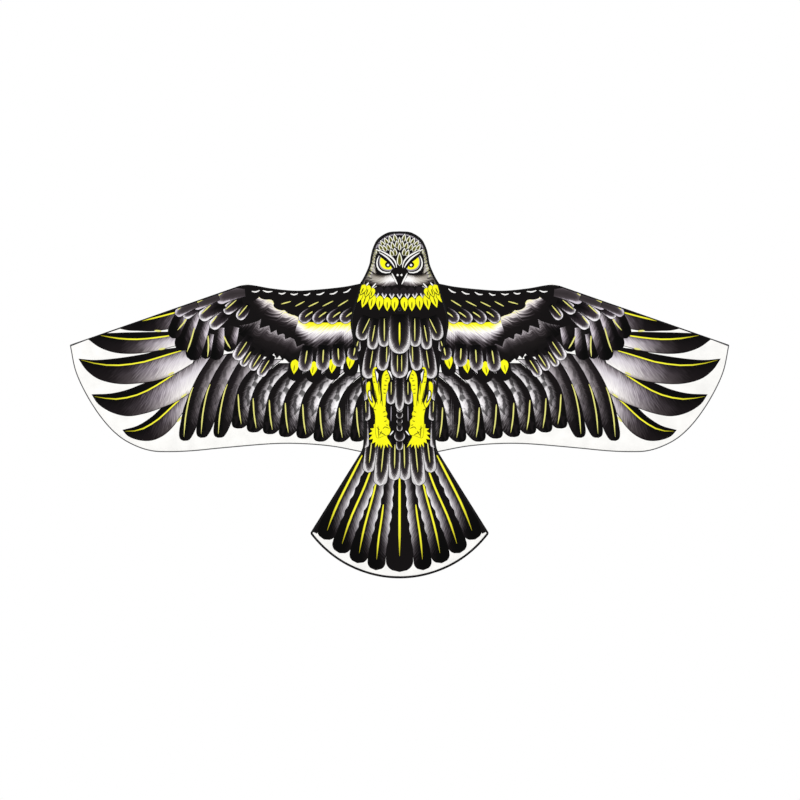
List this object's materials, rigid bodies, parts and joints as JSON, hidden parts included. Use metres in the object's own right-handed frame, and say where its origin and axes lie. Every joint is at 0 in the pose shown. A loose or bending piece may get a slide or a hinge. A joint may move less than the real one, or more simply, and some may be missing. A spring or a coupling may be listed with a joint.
{
  "type": "delta kite",
  "caption": "Bird-shaped delta kite: an eagle-printed cloth sail on a rod frame, with wings that fold forward on hinge fittings.",
  "frame": {"origin": "front of the sail on the centre line, where the spine and the centre tube cross and the bridle pulls", "axes": "+X to the viewer's right across the wings, +Y out of the back, where the frame is, +Z towards the head"},
  "size_m": [1.498, 0.0183, 0.7874],
  "materials": {
    "printed_cloth": "printed polyester kite cloth: an eagle in black, white, lilac-grey and yellow on white",
    "black_tape": "black woven polyester tape and hems",
    "fibreglass": "pultruded glass-fibre rod and tube, satin",
    "aluminium": "satin",
    "black_moulding": "moulded nylon, fine matt texture",
    "vinyl": "soft black vinyl, satin",
    "eyelet_metal": "black-plated pressed metal, satin"
  },
  "bodies": {
    "airframe": {"body_sail": "printed_cloth", "body_binding": "black_tape", "head_pocket": "black_tape", "tail_pocket": "black_tape", "spine_upper_rod": "fibreglass", "spine_lower_rod": "fibreglass", "spine_ferrule": "aluminium", "spine_top_cap": "vinyl", "spine_bottom_cap": "vinyl", "spine_keeper_upper": "black_tape", "spine_keeper_middle": "black_tape", "spine_keeper_lower": "black_tape", "cross_fitting": "black_moulding", "centre_tube": "aluminium", "tail_fitting": "black_moulding", "upper_bridle_eyelet": "eyelet_metal", "lower_bridle_eyelet": "eyelet_metal", "left_hinge_gusset": "printed_cloth", "left_hinge_clevis": "black_moulding", "left_hinge_pin": "aluminium", "left_tail_strut": "fibreglass", "left_tail_cap": "vinyl", "left_tail_corner_pocket": "black_tape", "right_hinge_gusset": "printed_cloth", "right_hinge_clevis": "black_moulding", "right_hinge_pin": "aluminium", "right_tail_strut": "fibreglass", "right_tail_cap": "vinyl", "right_tail_corner_pocket": "black_tape"},
    "left_wing": {"left_wing_sail": "printed_cloth", "left_hinge_knuckle": "black_moulding", "left_spreader_tube": "fibreglass", "left_spreader_fitting": "black_moulding", "left_spar_stopper": "vinyl", "left_leading_edge_rod_inner": "fibreglass", "left_leading_edge_rod_outer": "fibreglass", "left_leading_edge_ferrule": "aluminium", "left_leading_edge_sleeve_inner": "black_tape", "left_leading_edge_sleeve_outer": "black_tape", "left_shoulder_cap": "vinyl", "left_tip_cap": "vinyl", "left_tip_pocket": "black_tape", "left_batten": "fibreglass", "left_batten_sleeve": "black_tape"},
    "right_wing": {"right_wing_sail": "printed_cloth", "right_hinge_knuckle": "black_moulding", "right_spreader_tube": "fibreglass", "right_spreader_fitting": "black_moulding", "right_spar_stopper": "vinyl", "right_leading_edge_rod_inner": "fibreglass", "right_leading_edge_rod_outer": "fibreglass", "right_leading_edge_ferrule": "aluminium", "right_leading_edge_sleeve_inner": "black_tape", "right_leading_edge_sleeve_outer": "black_tape", "right_shoulder_cap": "vinyl", "right_tip_cap": "vinyl", "right_tip_pocket": "black_tape", "right_batten": "fibreglass", "right_batten_sleeve": "black_tape"}
  },
  "joints": [
    {"name": "left_wing_fold", "type": "hinge", "parent": "airframe", "child": "left_wing", "pos_m": [-0.127, 0.012, 0], "axis": [0, 0, 1], "range_deg": [-10, 90]},
    {"name": "right_wing_fold", "type": "hinge", "parent": "airframe", "child": "right_wing", "pos_m": [0.127, 0.012, 0], "axis": [0, 0, -1], "range_deg": [-10, 90]}
  ]
}
